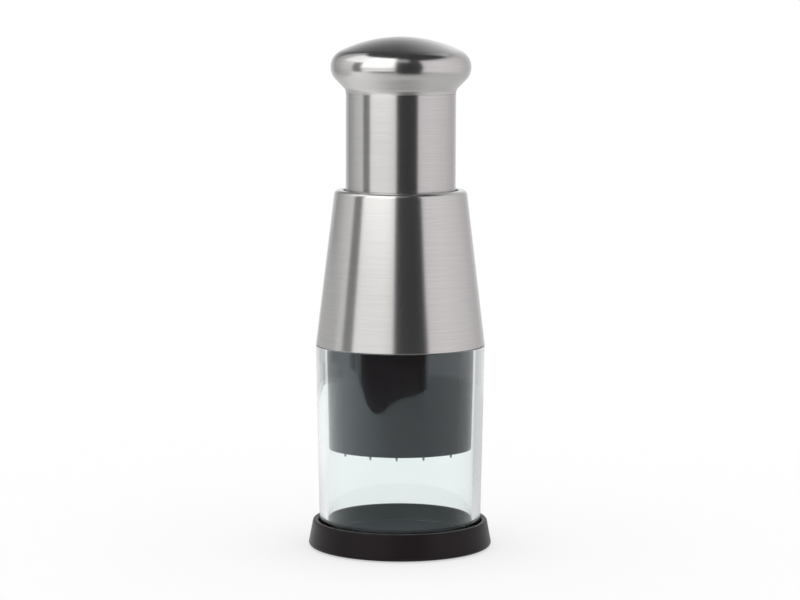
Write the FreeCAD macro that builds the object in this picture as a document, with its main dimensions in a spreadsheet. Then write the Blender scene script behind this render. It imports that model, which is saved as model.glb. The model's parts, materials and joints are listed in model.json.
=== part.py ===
import FreeCAD, Part
import math
import os

import Sketcher

# Plunger food chopper, standing on its base.
# Millimetres. The origin is the centre of the underside, +Z is up, and the front is towards -Y.
# The plunger is up, the blades are at rest above the board, and every moving piece is at its rest place.

doc = FreeCAD.newDocument("PlungerFoodChopper")

# Driving dimensions, each a cell of the sheet with its own alias.
dimensions = {
    # Fits that many pieces share, and how far a cutting shape runs past what it cuts
    "close_fit": 0.02,
    "push_fit": 0.05,
    "cut_overrun": 1.0,
    # Base tray, board and foot ring
    "base_flare": 2.2,
    "base_height": 12.0,
    "base_lift": 0.5,
    "base_edge_round": 1.2,
    "rim_wall": 2.35,
    "rim_round": 0.9,
    "rim_gap": 0.65,
    "floor_height": 5.0,
    "underside_height": 2.0,
    "foot_land": 2.0,
    "board_inset": 2.9,
    "board_thickness": 2.3,
    "board_proud": 0.7,
    "board_edge_round": 0.5,
    "board_gap": 0.1,
    "foot_ring_inset": 3.2,
    "foot_ring_width": 4.5,
    "foot_ring_height": 2.0,
    "foot_ring_round": 0.4,
    # Clear container
    "jar_foot_radius": 36.0,
    "jar_flare": 1.7,
    "jar_height": 86.0,
    "jar_foot_wall": 3.7,
    "jar_top_wall": 3.75,
    "neck_height": 5.0,
    "neck_inset": 2.3,
    "seal_height": 1.5,
    "seal_above_shoulder": 1.6,
    "seal_depth": 0.6,
    "seal_proud": 0.15,
    "joint_gap": 0.1,
    # Steel collar
    "collar_hole_room": 1.3,
    "collar_shoulder": 3.65,
    "collar_wall": 0.6,
    "collar_round": 2.2,
    "collar_lip_depth": 2.3,
    "collar_lip_round": 0.5,
    # Inner frame and guide bush
    "frame_gap": 0.05,
    "frame_set_up": 0.6,
    "neck_fit": 0.2,
    "frame_neck_room": 0.3,
    "skirt_gap": 0.5,
    "frame_floor_thickness": 2.4,
    "liner_wall": 1.6,
    "guide_bush_height": 3.6,
    "guide_fit": 0.06,
    "tower_wall": 3.5,
    "nut_seat_drop": 0.4,
    # Index nut, its ratchet and its cover
    "ratchet_wall": 1.8,
    "ratchet_height": 4.0,
    "ratchet_tooth_depth": 0.8,
    "ratchet_teeth": 12,
    "nut_wall": 3.15,
    "nut_side_gap": 1.45,
    "nut_play": 0.1,
    "nut_height": 7.5,
    "pawl_width": 2.4,
    "pawl_gap": 0.15,
    "pawl_lead": 0.35,
    "pawl_root": 0.35,
    "pawl_angle": 90.0,
    "pin_radius": 1.0,
    "pin_above_seat": 3.5,
    "cover_thickness": 1.8,
    "cover_screw_radius": 1.0,
    "cover_screw_head_radius": 1.7,
    "cover_screw_head_height": 1.1,
    "cover_screw_length": 6.0,
    "cover_screws": 3,
    # Drive shaft
    "shaft_radius": 5.0,
    "shaft_fit": 0.05,
    "shaft_flange_width": 2.5,
    "shaft_flange_height": 1.9,
    "shaft_hole_room": 0.7,
    "groove_depth": 1.5,
    "groove_side_gap": 0.15,
    "groove_floor_gap": 0.3,
    "groove_end_room": 4.0,
    "groove_sections": 6,
    "index_angle": 30.0,
    "washer_thickness": 0.8,
    "washer_width": 3.95,
    "washer_play": 0.05,
    "clip_thickness": 0.9,
    "clip_width": 2.0,
    "clip_groove_depth": 0.8,
    "clip_mouth": 5.6,
    "shaft_top_room": 1.1,
    # Plunger
    "tube_radius": 24.4,
    "tube_wall": 0.8,
    "tube_end_room": 1.1,
    "knob_stop_gap": 5.4,
    "seam_gap": 0.1,
    "stop_ring_rise": 0.4,
    "stop_ring_height": 3.2,
    "stop_ring_width": 2.2,
    "stop_ring_play": 0.2,
    "core_drop": 6.6,
    "core_roof": 2.0,
    "core_pocket_room": 1.0,
    "core_pocket_height": 6.0,
    "core_floor": 7.0,
    "spring_seat_height": 2.0,
    "spring_seat_lip": 1.0,
    "spring_seat_room": 0.2,
    # Return spring
    "spring_tower_gap": 1.5,
    "spring_wire": 1.8,
    "spring_turns": 11,
    # Knob
    "knob_overhang": 6.75,
    "knob_crown": 13.3,
    "knob_edge_radius": 7.9,
    "knob_neck_land": 0.3063,
    "knob_flare_angle": 44.0,
    "knob_neck_round": 3.0,
    "knob_wall": 0.8,
    # Blade and its carrier
    "blade_hang": 48.0,
    "blade_side_room": 5.1,
    "blade_thickness": 0.5,
    "blade_fold_radius": 1.0,
    "blade_height": 26.0,
    "blade_bevel": 0.9,
    "blade_turn": -3.0,
    "blade_front_folds": 5,
    "blade_end_back": 4.0,
    "blade_edge_thickness": 0.12,
    "blade_board_gap": 0.1,
    "carrier_side_gap": 0.6,
    "carrier_edge": 0.6,
    "carrier_thickness": 6.0,
    "carrier_grip": 4.0,
    "carrier_hub_wall": 5.0,
    "carrier_hub_height": 13.0,
    "carrier_pin_radius": 1.5,
    "carrier_web": 0.8,
    "carrier_pin_drop": 5.5,
    # Wiper
    "wiper_tip_clearance": 2.0,
    "wiper_foot_gap": 0.4,
    "wiper_top_gap": 1.1,
    "wiper_wall": 1.5,
    "wiper_hub_room": 5.5,
    "wiper_stop_gap": 0.5,
    "wiper_roof_gap": 0.6,
    "wiper_roof": 2.0,
    "wiper_edge_round": 0.8,
    "wiper_foot_round": 0.3,
    "wiper_plate_thickness": 2.0,
    "wiper_plate_seat": 0.5,
    "wiper_plate_fit": 0.05,
    "wiper_slot_gap": 0.35,
    "wiper_ledge_overlap": 1.0,
    "wiper_ledge_thickness": 2.0,
    "wiper_ledge_play": 0.2,
    "wiper_hole_room": 0.6,
}

sheet = doc.addObject("Spreadsheet::Sheet", "Sizes")
for row, (name, amount) in enumerate(dimensions.items(), start=1):
    sheet.set(f"B{row}", str(amount))
    sheet.setAlias(f"B{row}", name)
doc.recompute()


class Size:
    """A length, angle or ratio: its value now, and the sheet formula that it follows."""

    def __init__(self, value, formula):
        self.value = float(value)
        self.formula = formula

    def __add__(self, other):
        other = as_size(other)
        return Size(self.value + other.value, f"({self.formula} + {other.formula})")

    def __sub__(self, other):
        other = as_size(other)
        return Size(self.value - other.value, f"({self.formula} - {other.formula})")

    def __mul__(self, other):
        other = as_size(other)
        return Size(self.value * other.value, f"({self.formula} * {other.formula})")

    def __truediv__(self, other):
        other = as_size(other)
        return Size(self.value / other.value, f"({self.formula} / {other.formula})")

    def __neg__(self):
        return Size(-self.value, f"(0 - {self.formula})")


def as_size(amount):
    return amount if isinstance(amount, Size) else Size(amount, repr(float(amount)))


def size(name):
    return Size(sheet.get(name), f"{sheet.Name}.{name}")


def sine(angle):
    return Size(math.sin(math.radians(angle.value)), f"sin({angle.formula})")


def cosine(angle):
    return Size(math.cos(math.radians(angle.value)), f"cos({angle.formula})")


def tangent(angle):
    return Size(math.tan(math.radians(angle.value)), f"tan({angle.formula})")


def count(name):
    return int(round(sheet.get(name)))


def bind(item, prop, amount):
    """Tie a property of an object to the sheet."""
    item.setExpression(prop, as_size(amount).formula)


zero = as_size(0.0)
parts = {}

# Levels and radii that several pieces share, worked out from the sheet.
# Container, base and board
jar_top_radius = size("jar_foot_radius") + size("jar_flare")
bore_foot_radius = size("jar_foot_radius") - size("jar_foot_wall")
bore_top_radius = jar_top_radius - size("jar_top_wall")
rim_inner = size("jar_foot_radius") + size("rim_gap")
rim_outer = rim_inner + size("rim_wall")
base_radius = rim_outer + size("base_flare")
foot_outer = base_radius - size("foot_ring_inset")
foot_inner = foot_outer - size("foot_ring_width")
board_radius = bore_foot_radius - size("board_inset")
board_top = size("floor_height") + size("board_proud")
board_seat = board_top - size("board_thickness")

shoulder = size("floor_height") + size("jar_height")
neck_radius = jar_top_radius - size("neck_inset")
neck_top = shoulder + size("neck_height")
seal_low = shoulder + size("seal_above_shoulder")
seal_high = seal_low + size("seal_height")
seal_inner = neck_radius - size("seal_depth")
seal_outer = neck_radius + size("seal_proud")

# Blade, its carrier and the wiper, which hang from the container's shoulder
blade_tip = shoulder - size("blade_hang")
blade_top = blade_tip + size("blade_height")
stroke = blade_tip - board_top - size("blade_board_gap")
carrier_bottom = blade_top - size("carrier_grip")
carrier_top = carrier_bottom + size("carrier_thickness")
hub_radius = size("shaft_radius") + size("carrier_hub_wall")
hub_top = carrier_top + size("carrier_hub_height")
shaft_bottom = blade_top + size("carrier_web")
carrier_pin_level = hub_top - size("carrier_pin_drop")

wiper_foot = blade_tip + size("wiper_tip_clearance")
wiper_plate_top = wiper_foot + size("wiper_plate_thickness")
wiper_roof_bottom = hub_top + size("wiper_hub_room")
wiper_top = wiper_roof_bottom + size("wiper_roof")
wiper_travel = carrier_bottom - wiper_plate_top - size("wiper_stop_gap")
wiper_foot_radius = bore_foot_radius - size("wiper_foot_gap")
wiper_top_radius = bore_top_radius - size("wiper_top_gap")
wiper_inner = wiper_foot_radius - size("wiper_wall")
wiper_guide = wiper_inner - size("wiper_plate_seat")
carrier_radius = wiper_guide - size("carrier_side_gap")
blade_reach = carrier_radius - size("carrier_edge")

# Frame, tube end, bush and collar, one above the other with room for the whole stroke
frame_floor_bottom = wiper_top + wiper_travel + size("wiper_roof_gap")
frame_floor_top = frame_floor_bottom + size("frame_floor_thickness")
tube_bottom = frame_floor_top + stroke + size("tube_end_room")
stop_ring_bottom = tube_bottom + size("stop_ring_rise")
stop_ring_top = stop_ring_bottom + size("stop_ring_height")
liner_top = stop_ring_top + size("stop_ring_play")
lip_bottom = liner_top + size("guide_bush_height")
collar_foot = shoulder + size("joint_gap")
collar_top = lip_bottom + size("collar_lip_depth")
collar_hole = size("tube_radius") + size("collar_hole_room")
collar_top_radius = collar_hole + size("collar_shoulder")
collar_taper = (jar_top_radius - collar_top_radius) / (collar_top - collar_foot)

frame_bottom = collar_foot + size("frame_set_up")
neck_room_radius = neck_radius + size("neck_fit")
neck_room_top = neck_top + size("frame_neck_room")
skirt_radius = wiper_top_radius + size("skirt_gap")

# Index nut in its tower, round the shaft
shaft_hole = size("shaft_radius") + size("shaft_hole_room")
shaft_bore = size("shaft_radius") + size("shaft_fit")
nut_radius = shaft_bore + size("nut_wall")
nut_seat = frame_floor_top - size("nut_seat_drop")
ratchet_inner = nut_radius + size("nut_side_gap")
ratchet_outer = ratchet_inner + size("ratchet_wall")
tower_inner = ratchet_outer + size("push_fit")
tower_radius = tower_inner + size("tower_wall")
tower_top = nut_seat + size("nut_height") + size("nut_play")
pin_height = nut_seat + size("pin_above_seat")

# Plunger, its core and the bearings of the shaft's top
seam_level = collar_top + stroke + size("knob_stop_gap")
washer_radius = shaft_bore + size("washer_width")
core_outer = size("tube_radius") - size("tube_wall") - size("push_fit")
core_bottom = seam_level - size("core_drop")
core_bore_top = core_bottom + size("core_floor")
seat_bottom = core_bottom - size("spring_seat_height")
spring_radius = tower_radius + size("spring_tower_gap") + size("spring_wire") / 2
washer_bottom = core_bottom - size("washer_play") - size("washer_thickness")
flange_top = washer_bottom - size("washer_play")
flange_bottom = flange_top - size("shaft_flange_height")
upper_washer_bottom = core_bore_top + size("washer_play")
clip_bottom = upper_washer_bottom + size("washer_thickness") + size("washer_play")
clip_top = clip_bottom + size("clip_thickness")
clip_radius = size("shaft_radius") + size("clip_width")
clip_groove_radius = size("shaft_radius") - size("clip_groove_depth")
shaft_top = clip_top + size("shaft_top_room")


def origin_feature(body, role):
    return next(item for item in body.Origin.OriginFeatures if item.Role == role)


def new_body(label):
    body = doc.addObject("PartDesign::Body", f"{label}_body")
    body.Label = label
    parts[label] = body
    return body


def new_sketch(body, name, plane="XZ_Plane", height=None, turn=None):
    """A sketch on one of the body's own planes, lifted and turned as the sheet says."""
    sketch = body.newObject("Sketcher::SketchObject", name)
    sketch.AttachmentSupport = [(origin_feature(body, plane), "")]
    sketch.MapMode = "FlatFace"
    if height is not None:
        bind(sketch, "AttachmentOffset.Base.z", height)
    if turn is not None:
        bind(sketch, "AttachmentOffset.Rotation.Angle", turn)
    return sketch


def place_point(sketch, edge, end, across, up):
    """Fix one end of an edge at a place that follows the sheet."""
    for kind, amount, axis in (("DistanceX", across, -2), ("DistanceY", up, -1)):
        if amount.value == 0.0:
            sketch.addConstraint(Sketcher.Constraint("PointOnObject", edge, end, axis))
        else:
            number = sketch.addConstraint(Sketcher.Constraint(kind, -1, 1, edge, end, amount.value))
            bind(sketch, f"Constraints[{number}]", amount)


def draw_outline(sketch, corners):
    """Draw a closed outline. A corner is (across, up) or, where the edge that leaves it is an arc,
    (across, up, radius, side), with side 1 for an arc that bulges to the right of its direction."""
    places = [FreeCAD.Vector(corner[0].value, corner[1].value, 0) for corner in corners]
    ends = []
    for index, corner in enumerate(corners):
        start = places[index]
        finish = places[(index + 1) % len(corners)]
        if len(corner) == 2:
            edge = sketch.addGeometry(Part.LineSegment(start, finish))
            ends.append((edge, 1, 2))
            continue
        radius, side = corner[2], corner[3]
        chord = finish - start
        left = FreeCAD.Vector(-chord.y, chord.x, 0).normalize()
        reach = math.sqrt(radius.value ** 2 - (chord.Length / 2) ** 2)
        centre = (start + finish) * 0.5 + left * reach * side
        first, last = (start, finish) if side > 0 else (finish, start)
        circle = Part.Circle(centre, FreeCAD.Vector(0, 0, 1), radius.value)
        from_angle = math.atan2(first.y - centre.y, first.x - centre.x)
        to_angle = math.atan2(last.y - centre.y, last.x - centre.x)
        edge = sketch.addGeometry(Part.ArcOfCircle(circle, from_angle, to_angle))
        ends.append((edge, 1, 2) if side > 0 else (edge, 2, 1))
        number = sketch.addConstraint(Sketcher.Constraint("Radius", edge, radius.value))
        bind(sketch, f"Constraints[{number}]", radius)
    for index, (edge, start_end, finish_end) in enumerate(ends):
        next_edge, next_start, _ = ends[(index + 1) % len(ends)]
        sketch.addConstraint(Sketcher.Constraint("Coincident", edge, finish_end, next_edge, next_start))
    for index, corner in enumerate(corners):
        place_point(sketch, ends[index][0], ends[index][1], corner[0], corner[1])


def revolve(body, name, corners):
    """Turn an outline round the vertical axis."""
    sketch = new_sketch(body, f"{name}_outline")
    draw_outline(sketch, corners)
    turned = body.newObject("PartDesign::Revolution", name)
    turned.Profile = sketch
    turned.ReferenceAxis = (sketch, ["V_Axis"])
    turned.Angle = 360.0
    doc.recompute()
    return turned


def turned_part(label, corners, rounds=()):
    """A turned piece. Each round is (radius of the edge, its height, radius of the fillet)."""
    body = new_body(label)
    revolve(body, f"{label}_turned", corners)
    for across, up, amount in rounds:
        round_edge(body, across, up, amount)
    return body


def round_edge(body, across, up, amount):
    """Fillet the circular edge at a radius and a height."""
    feature = body.Tip
    match = sheet.get("close_fit")
    names = []
    for number, edge in enumerate(feature.Shape.Edges, start=1):
        if not isinstance(edge.Curve, Part.Circle) or len(edge.Vertexes) > 1:
            continue
        near_radius = abs(edge.Curve.Radius - across.value) < match
        near_height = abs(edge.Curve.Center.z - up.value) < match
        if near_radius and near_height:
            names.append(f"Edge{number}")
    if not names:
        raise RuntimeError(f"{body.Label}: no edge at radius {across.value}, height {up.value}")
    fillet = body.newObject("PartDesign::Fillet", f"{body.Label}_round")
    fillet.Base = (feature, names)
    fillet.Radius = amount.value
    bind(fillet, "Radius", amount)
    doc.recompute()


def ring(label, inner, outer, low, high, rounds=()):
    """A turned ring with a square section."""
    return turned_part(label, [(inner, low), (outer, low), (outer, high), (inner, high)], rounds)


def pocket_circle(body, name, radius, at, low, depth):
    """Cut a round hole upwards from a level, and say how much it took away."""
    sketch = new_sketch(body, f"{name}_sketch", "XY_Plane", low)
    centre = FreeCAD.Vector(at[0].value, at[1].value, 0)
    sketch.addGeometry(Part.Circle(centre, FreeCAD.Vector(0, 0, 1), radius.value))
    number = sketch.addConstraint(Sketcher.Constraint("Radius", 0, radius.value))
    bind(sketch, f"Constraints[{number}]", radius)
    place_point(sketch, 0, 3, at[0], at[1])
    return cut_sketch(body, name, sketch, depth)


def cut_sketch(body, name, sketch, depth):
    """Cut a sketch upwards through a depth."""
    before = body.Tip.Shape.Volume
    pocket = body.newObject("PartDesign::Pocket", name)
    pocket.Profile = sketch
    pocket.Reversed = True
    pocket.Length = depth.value
    bind(pocket, "Length", depth)
    doc.recompute()
    if pocket.Shape.Volume >= before:
        raise RuntimeError(f"{name} cuts nothing")
    return pocket


def repeat_round(body, feature, copies_name=None):
    """Repeat a feature round the vertical axis as often as the sheet says, or once more, opposite."""
    pattern = body.newObject("PartDesign::PolarPattern", f"{feature.Name}_pattern")
    pattern.Originals = [feature]
    pattern.Axis = (origin_feature(body, "Z_Axis"), [""])
    pattern.Angle = 360.0
    pattern.Occurrences = 2
    if copies_name is not None:
        bind(pattern, "Occurrences", size(copies_name))
    body.Tip = pattern
    doc.recompute()
    return pattern


# Base

def make_base_tray():
    under = size("underside_height")
    lift = size("base_lift")
    seat_radius = board_radius + size("board_gap")
    turned_part("base_tray", [
        (zero, under), (foot_inner - size("foot_land"), under), (foot_inner - size("foot_land"), lift),
        (foot_inner, lift), (foot_inner, size("foot_ring_height")), (foot_outer, size("foot_ring_height")),
        (foot_outer, lift), (base_radius, lift), (rim_outer, size("base_height")),
        (rim_inner, size("base_height")), (rim_inner, size("floor_height")),
        (seat_radius, size("floor_height")), (seat_radius, board_seat), (zero, board_seat),
    ], [
        (base_radius, lift, size("base_edge_round")),
        (rim_outer, size("base_height"), size("rim_round")),
        (rim_inner, size("base_height"), size("rim_round")),
    ])


def make_chopping_board():
    turned_part("chopping_board", [
        (zero, board_seat), (board_radius, board_seat), (board_radius, board_top),
        (zero, board_top),
    ], [(board_radius, board_top, size("board_edge_round"))])


def make_foot_ring():
    ring("foot_ring", foot_inner, foot_outer, zero, size("foot_ring_height"), [
        (foot_inner, zero, size("foot_ring_round")), (foot_outer, zero, size("foot_ring_round"))])


# Clear container

def make_clear_container():
    turned_part("clear_container", [
        (bore_foot_radius, size("floor_height")), (size("jar_foot_radius"), size("floor_height")),
        (jar_top_radius, shoulder), (neck_radius, shoulder), (neck_radius, seal_low),
        (seal_inner, seal_low), (seal_inner, seal_high), (neck_radius, seal_high), (neck_radius, neck_top),
        (bore_top_radius, neck_top),
    ])


def make_neck_seal():
    ring("neck_seal", seal_inner, seal_outer, seal_low, seal_high)


# Housing: steel collar, frame, bush and index mechanism

def collar_radius(height):
    """Outside radius of the steel collar at a height."""
    return jar_top_radius - collar_taper * (height - collar_foot)


def frame_radius(height):
    """Outside radius of the frame, just inside the steel."""
    return collar_radius(height) - size("collar_wall") - size("frame_gap")


def make_collar_shell():
    wall = size("collar_wall")
    inside_top = collar_top - wall
    inner_corner = collar_radius(inside_top) - wall
    lip_inside = collar_hole + wall
    turned_part("collar_shell", [
        (jar_top_radius - wall, collar_foot), (jar_top_radius, collar_foot),
        (collar_top_radius, collar_top), (collar_hole, collar_top),
        (collar_hole, lip_bottom), (lip_inside, lip_bottom), (lip_inside, inside_top),
        (inner_corner, inside_top),
    ], [
        (collar_top_radius, collar_top, size("collar_round")),
        (inner_corner, inside_top, size("collar_round") - wall),
        (collar_hole, collar_top, size("collar_lip_round")),
    ])


def make_inner_frame():
    body = turned_part("inner_frame", [
        (neck_room_radius, frame_bottom), (frame_radius(frame_bottom), frame_bottom),
        (frame_radius(liner_top), liner_top), (frame_radius(liner_top) - size("liner_wall"), liner_top),
        (frame_radius(frame_floor_top) - size("liner_wall"), frame_floor_top),
        (tower_radius, frame_floor_top), (tower_radius, tower_top),
        (tower_inner, tower_top), (tower_inner, nut_seat), (shaft_hole, nut_seat),
        (shaft_hole, frame_floor_bottom), (skirt_radius, frame_floor_bottom),
        (skirt_radius, neck_room_top), (neck_room_radius, neck_room_top),
    ])
    screw_depth = size("cover_screw_length") - size("cover_thickness")
    hole = pocket_circle(body, "frame_screw_hole", size("cover_screw_radius"), (screw_circle(), zero),
                         tower_top - screw_depth, screw_depth)
    repeat_round(body, hole, "cover_screws")


def screw_circle():
    return tower_radius - size("tower_wall") / 2


def make_guide_bush():
    bore = size("tube_radius") + size("guide_fit")
    turned_part("guide_bush", [
        (bore, liner_top), (frame_radius(liner_top), liner_top), (frame_radius(lip_bottom), lip_bottom),
        (bore, lip_bottom),
    ])


def make_ratchet_ring():
    root = ratchet_inner + size("ratchet_tooth_depth")
    body = ring("ratchet_ring", ratchet_inner, ratchet_outer, nut_seat, nut_seat + size("ratchet_height"))
    sketch = new_sketch(body, "ratchet_notch", "XY_Plane", nut_seat)
    half = size("pawl_width") / 2 + size("pawl_gap")
    inside = ratchet_inner - size("pawl_gap")
    draw_outline(sketch, [(inside, -half), (root, -half), (inside, half)])
    notch = cut_sketch(body, "ratchet_notch_cut", sketch, size("ratchet_height"))
    repeat_round(body, notch, "ratchet_teeth")


def make_index_nut():
    """Nut with two pawls whose slanted backs let it turn one way only."""
    body = ring("index_nut", shaft_bore, nut_radius, nut_seat, nut_seat + size("nut_height"))
    tip = ratchet_inner + size("pawl_lead")
    sketch = new_sketch(body, "pawl", "XY_Plane", nut_seat, size("pawl_angle"))
    half = size("pawl_width") / 2
    rooted = nut_radius - size("pawl_root")
    draw_outline(sketch, [(rooted, -half), (tip, -half), (rooted, half)])
    pawl = body.newObject("PartDesign::Pad", "pawl_pad")
    pawl.Profile = sketch
    pawl.Length = sheet.get("ratchet_height")
    bind(pawl, "Length", size("ratchet_height"))
    doc.recompute()
    repeat_round(body, pawl)
    drill_across(body, "nut_pin_hole", size("pin_radius") + size("close_fit"), pin_height,
                 nut_radius + size("cut_overrun"))


def drill_across(body, name, radius, level, reach):
    """Cut a round hole through a piece along X, to the same reach on both sides."""
    sketch = new_sketch(body, f"{name}_sketch", "YZ_Plane")
    sketch.addGeometry(Part.Circle(FreeCAD.Vector(0, level.value, 0), FreeCAD.Vector(0, 0, 1), radius.value))
    number = sketch.addConstraint(Sketcher.Constraint("Radius", 0, radius.value))
    bind(sketch, f"Constraints[{number}]", radius)
    place_point(sketch, 0, 3, zero, level)
    before = body.Tip.Shape.Volume
    pocket = body.newObject("PartDesign::Pocket", name)
    pocket.Profile = sketch
    pocket.Midplane = True
    pocket.Length = reach.value * 2
    bind(pocket, "Length", reach * 2)
    doc.recompute()
    if pocket.Shape.Volume >= before:
        raise RuntimeError(f"{name} cuts nothing")


def make_index_pins():
    """Two pins that point at the shaft from both sides of the nut."""
    inner = size("shaft_radius") - size("groove_depth") + size("groove_floor_gap")
    pins = []
    for side, tilt in (("right", 90.0), ("left", -90.0)):
        pin = doc.addObject("Part::Cylinder", f"index_pin_{side}")
        bind(pin, "Radius", size("pin_radius"))
        bind(pin, "Height", nut_radius - inner)
        start = inner if tilt > 0 else -inner
        bind(pin, "Placement.Base.x", start)
        bind(pin, "Placement.Base.z", pin_height)
        pin.Placement.Rotation = FreeCAD.Rotation(FreeCAD.Vector(0, 1, 0), tilt)
        pins.append(pin)
    group_part("index_pins", pins)


def group_part(label, shapes):
    """Separate solids of one kind that share a name."""
    group = doc.addObject("Part::Compound", f"{label}_group")
    group.Label = label
    group.Links = shapes
    parts[label] = group


def make_nut_cover():
    cover_top = tower_top + size("cover_thickness")
    body = ring("nut_cover", shaft_hole, tower_radius, tower_top, cover_top)
    hole = pocket_circle(body, "cover_screw_hole", size("cover_screw_radius"), (screw_circle(), zero),
                         tower_top, size("cover_thickness"))
    repeat_round(body, hole, "cover_screws")


def make_cover_screws():
    head_seat = tower_top + size("cover_thickness")
    shank_bottom = head_seat - size("cover_screw_length")
    screws = []
    copies = count("cover_screws")
    for index in range(copies):
        shank = doc.addObject("Part::Cylinder", f"cover_screw_shank_{index}")
        bind(shank, "Radius", size("cover_screw_radius") - size("close_fit"))
        bind(shank, "Height", size("cover_screw_length"))
        bind(shank, "Placement.Base.z", shank_bottom)
        head = doc.addObject("Part::Cylinder", f"cover_screw_head_{index}")
        bind(head, "Radius", size("cover_screw_head_radius"))
        bind(head, "Height", size("cover_screw_head_height"))
        bind(head, "Placement.Base.z", head_seat)
        angle = Size(360.0 * index / copies, f"(360 * {index} / {sheet.Name}.cover_screws)")
        for item in (shank, head):
            bind(item, "Placement.Base.x", screw_circle() * cosine(angle))
            bind(item, "Placement.Base.y", screw_circle() * sine(angle))
        screw = doc.addObject("Part::Fuse", f"cover_screw_{index}")
        screw.Base = shank
        screw.Tool = head
        screws.append(screw)
    group_part("cover_screws", screws)


# Plunger: knob, tube, core, stop ring and spring

def make_knob_shell():
    """Dome, rounded edge, flare and neck. The dome is tangent to the rounded edge."""
    edge = size("knob_edge_radius")
    edge_centre = size("tube_radius") + size("knob_overhang") - edge
    drop = size("knob_crown")
    dome = (edge_centre * edge_centre + drop * drop - edge * edge) / ((drop - edge) * 2)
    rise = (dome - drop) / (dome - edge)
    spread = edge_centre / (dome - edge)
    flare = size("knob_flare_angle")
    wall = size("knob_wall")
    flare_reach = edge_centre + edge * cosine(flare) - size("tube_radius")
    bend_rise = size("knob_neck_round") * tangent(flare / 2)
    edge_level = (seam_level + size("knob_neck_land") + bend_rise + flare_reach / tangent(flare)
                  + edge * sine(flare))
    knob_top = edge_level + drop
    dome_centre = knob_top - dome
    outside = []
    inside = []
    for cut, corners in ((zero, outside), (wall, inside)):
        neck = size("tube_radius") - cut
        ball = edge - cut
        flare_top = (edge_centre + ball * cosine(flare), edge_level - ball * sine(flare))
        bend = size("knob_neck_round") + cut
        bend_reach = bend * tangent(flare / 2)
        corner_up = flare_top[1] - (flare_top[0] - neck) / tangent(flare)
        bend_top = (neck + bend_reach * sine(flare), corner_up + bend_reach * cosine(flare))
        corners.append((neck, seam_level))
        corners.append((neck, corner_up - bend_reach, bend, -1))
        corners.append(bend_top)
        corners.append((flare_top[0], flare_top[1], ball, 1))
        corners.append(((dome - cut) * spread, dome_centre + (dome - cut) * rise, dome - cut, 1))
        corners.append((zero, knob_top - cut))
    back = []
    reversed_inside = list(reversed(inside))
    for index, corner in enumerate(reversed_inside):
        leaves = reversed_inside[index + 1] if index + 1 < len(reversed_inside) else None
        if leaves is not None and len(leaves) == 4:
            back.append((corner[0], corner[1], leaves[2], -leaves[3]))
        else:
            back.append((corner[0], corner[1]))
    turned_part("knob_shell", outside + back)


def make_plunger_tube():
    ring("plunger_tube", size("tube_radius") - size("tube_wall"), size("tube_radius"), tube_bottom,
         seam_level - size("seam_gap"))


def make_knob_core():
    """Plug with a bore for the shaft and a pocket above it for the clip."""
    pocket_radius = washer_radius + size("core_pocket_room")
    pocket_top = core_bore_top + size("core_pocket_height")
    top = pocket_top + size("core_roof")
    turned_part("knob_core", [
        (shaft_bore, core_bottom), (core_outer, core_bottom), (core_outer, top), (zero, top),
        (zero, pocket_top), (pocket_radius, pocket_top), (pocket_radius, core_bore_top),
        (shaft_bore, core_bore_top),
    ])


def make_stop_ring():
    inner = size("tube_radius") + size("close_fit")
    ring("stop_ring", inner, size("tube_radius") + size("stop_ring_width"), stop_ring_bottom, stop_ring_top)


def make_spring_seat():
    """Ring with a lip round its edge that keeps the spring centred."""
    inner = washer_radius + size("spring_seat_room")
    spring_outer = spring_radius + size("spring_wire") / 2
    turned_part("spring_seat", [
        (inner, seat_bottom), (spring_outer + size("spring_seat_room"), seat_bottom),
        (spring_outer + size("spring_seat_room"), seat_bottom - size("spring_seat_lip")),
        (core_outer, seat_bottom - size("spring_seat_lip")), (core_outer, core_bottom), (inner, core_bottom),
    ])


def biarc(start, start_direction, finish, finish_direction):
    """Two arcs in a row that leave and arrive along the given directions."""
    across = finish - start
    both = start_direction + finish_direction
    square = 2 * (1 - start_direction.dot(finish_direction))
    linear = 2 * across.dot(both)
    reach = (math.sqrt(linear ** 2 + 4 * square * across.dot(across)) - linear) / (2 * square)
    first_corner = start + start_direction * reach
    second_corner = finish - finish_direction * reach
    middle = (first_corner + second_corner) * 0.5
    return [arc_by_corner(start, first_corner, middle), arc_by_corner(middle, second_corner, finish)]


def arc_by_corner(start, corner, finish):
    """The arc that touches two lines which meet at a corner."""
    centre_of_chord = (start + finish) * 0.5
    half_chord = (finish - start).Length / 2
    height = (corner - centre_of_chord).Length
    half_angle = math.atan2(height, half_chord)
    crown = centre_of_chord + (corner - centre_of_chord).normalize() * half_chord * math.tan(half_angle / 2)
    return Part.Edge(Part.Arc(start, crown, finish))


def make_return_spring():
    """Compression spring between the frame's floor and the spring seat, one unbroken wire."""
    wire_radius = sheet.get("spring_wire") / 2
    coil = spring_radius.value
    low = frame_floor_top.value + wire_radius
    high = seat_bottom.value - wire_radius
    quarters = int(sheet.get("spring_turns")) * 4
    climb = (high - low) / quarters

    def at(step):
        angle = math.radians(90.0 * step)
        return FreeCAD.Vector(coil * math.cos(angle), coil * math.sin(angle), low + climb * step)

    def along(step):
        angle = math.radians(90.0 * step)
        pace = math.radians(90.0) * coil
        return FreeCAD.Vector(-pace * math.sin(angle), pace * math.cos(angle), climb).normalize()

    edges = []
    for step in range(quarters):
        edges += biarc(at(step), along(step), at(step + 1), along(step + 1))
    path = Part.Wire(edges)
    section = Part.Wire(Part.Edge(Part.Circle(at(0), along(0), wire_radius)))
    shape = path.makePipeShell([section], True, False)
    print(f"return_spring: least gap between turns {climb * 4 - wire_radius * 2:.2f}")
    add_shape("return_spring", shape)


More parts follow.
